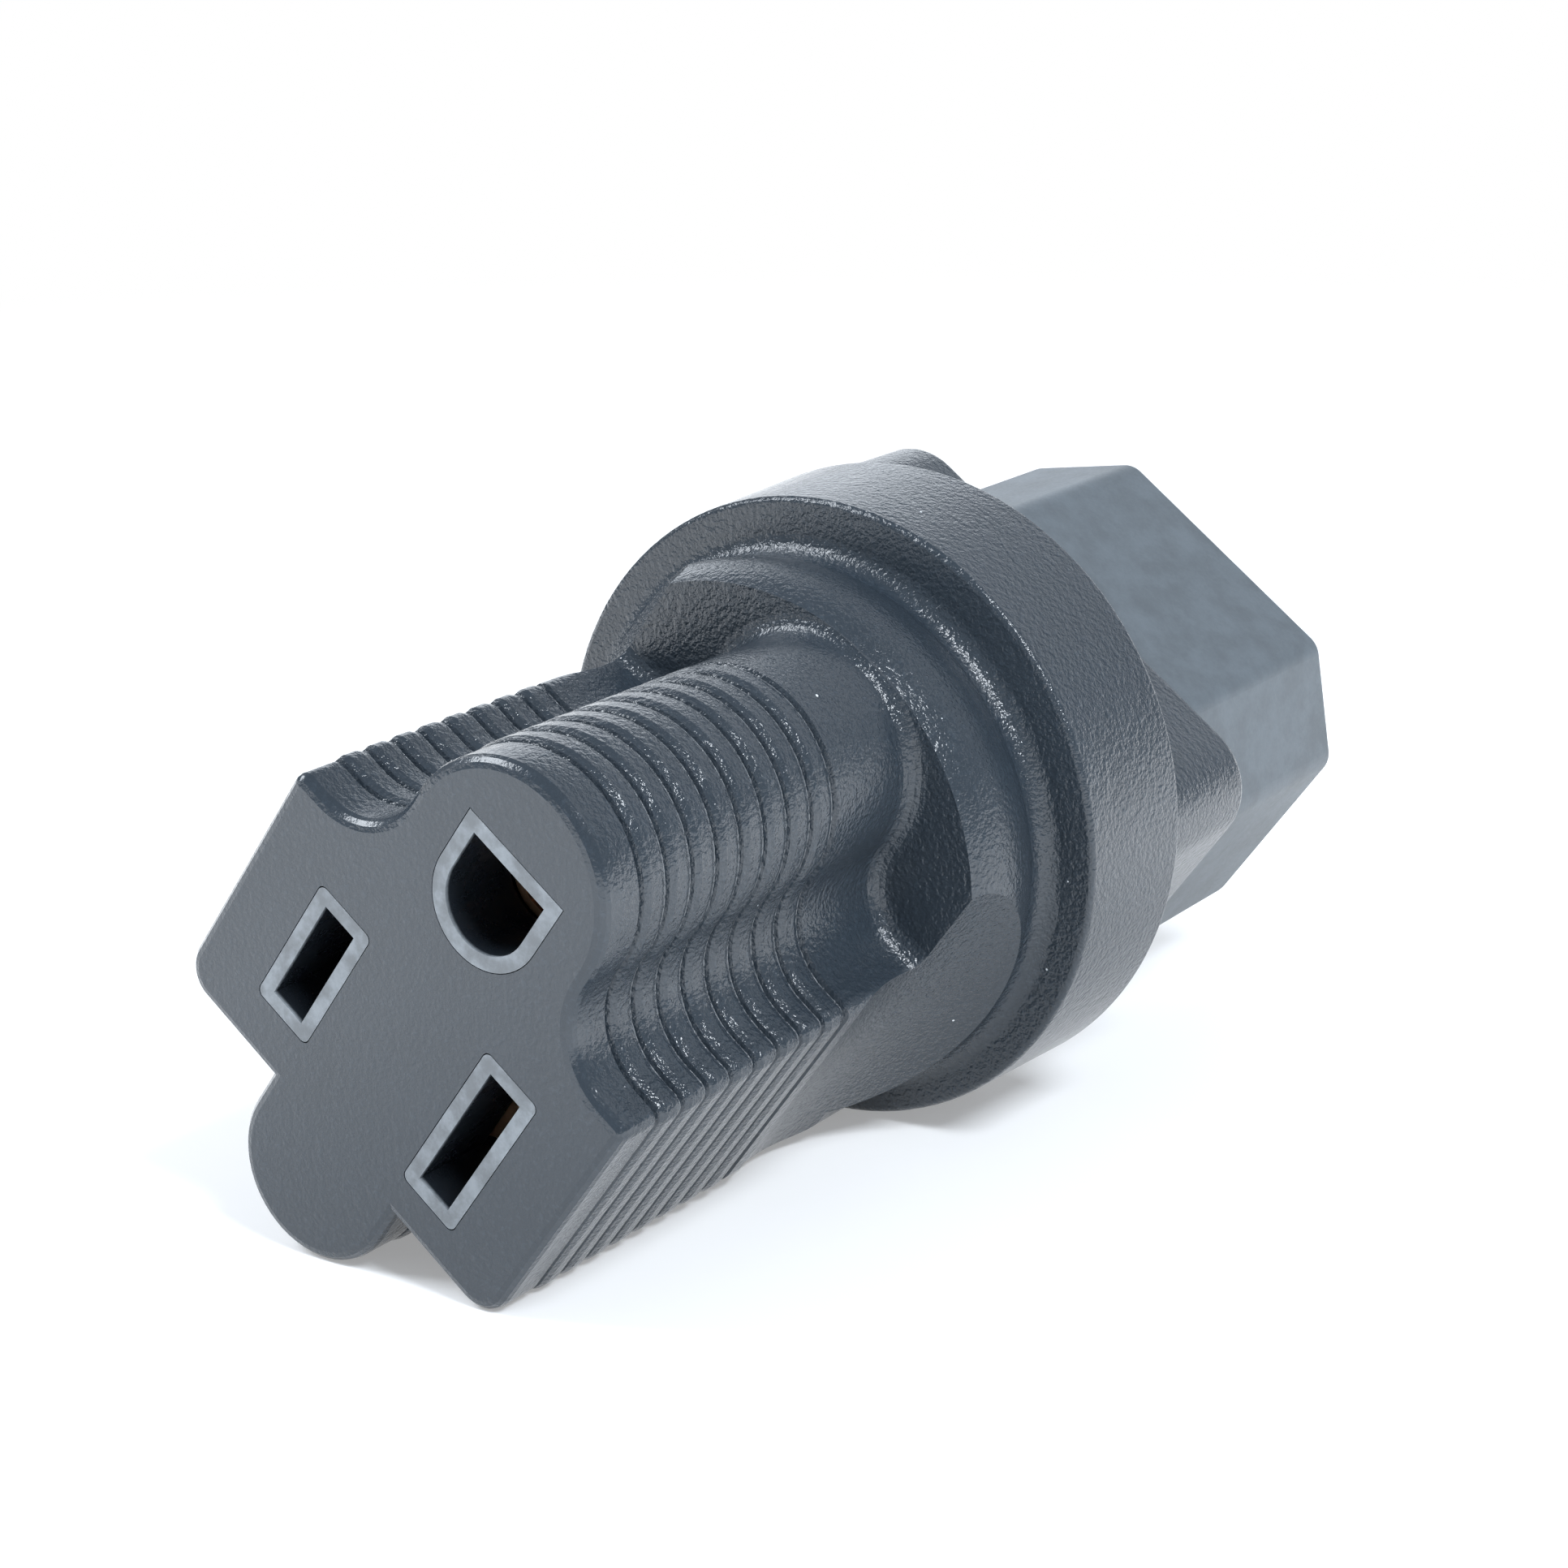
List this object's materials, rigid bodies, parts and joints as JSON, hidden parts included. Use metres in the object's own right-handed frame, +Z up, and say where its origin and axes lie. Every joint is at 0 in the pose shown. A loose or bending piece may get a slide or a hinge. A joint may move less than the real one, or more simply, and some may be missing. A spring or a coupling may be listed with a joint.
{
  "type": "power plug adapter",
  "caption": "Moulded power adapter with a grounded blade socket in a ribbed grip at one end and a shrouded appliance inlet at the other, joined by short wires inside.",
  "frame": {"origin": "bottom centre of the box round the adapter as it lies on a table", "axes": "+X from the socket face to the inlet's rim, along the adapter and 2.0 degrees up from level; +Z up; +Y to the left of someone who looks along +X"},
  "size_m": [0.0728, 0.038, 0.038],
  "materials": {
    "overmould": "fine spark texture",
    "shroud": "smooth satin",
    "carrier": "smooth satin",
    "contact_brass": "stamped",
    "pin_metal": "nickel plated",
    "copper": "bare strand",
    "wire_black": "smooth",
    "wire_white": "smooth",
    "wire_green": "smooth"
  },
  "bodies": {
    "root": {"overmould_body": "overmould", "socket_carrier": "carrier", "carrier_cap": "carrier", "line_contact": "contact_brass", "neutral_contact": "contact_brass", "ground_contact": "contact_brass", "inlet_insert": "shroud", "line_pin": "pin_metal", "neutral_pin": "pin_metal", "earth_pin": "pin_metal", "line_conductor": "copper", "neutral_conductor": "copper", "earth_conductor": "copper", "line_insulation": "wire_black", "neutral_insulation": "wire_white", "earth_insulation": "wire_green"}
  },
  "joints": []
}
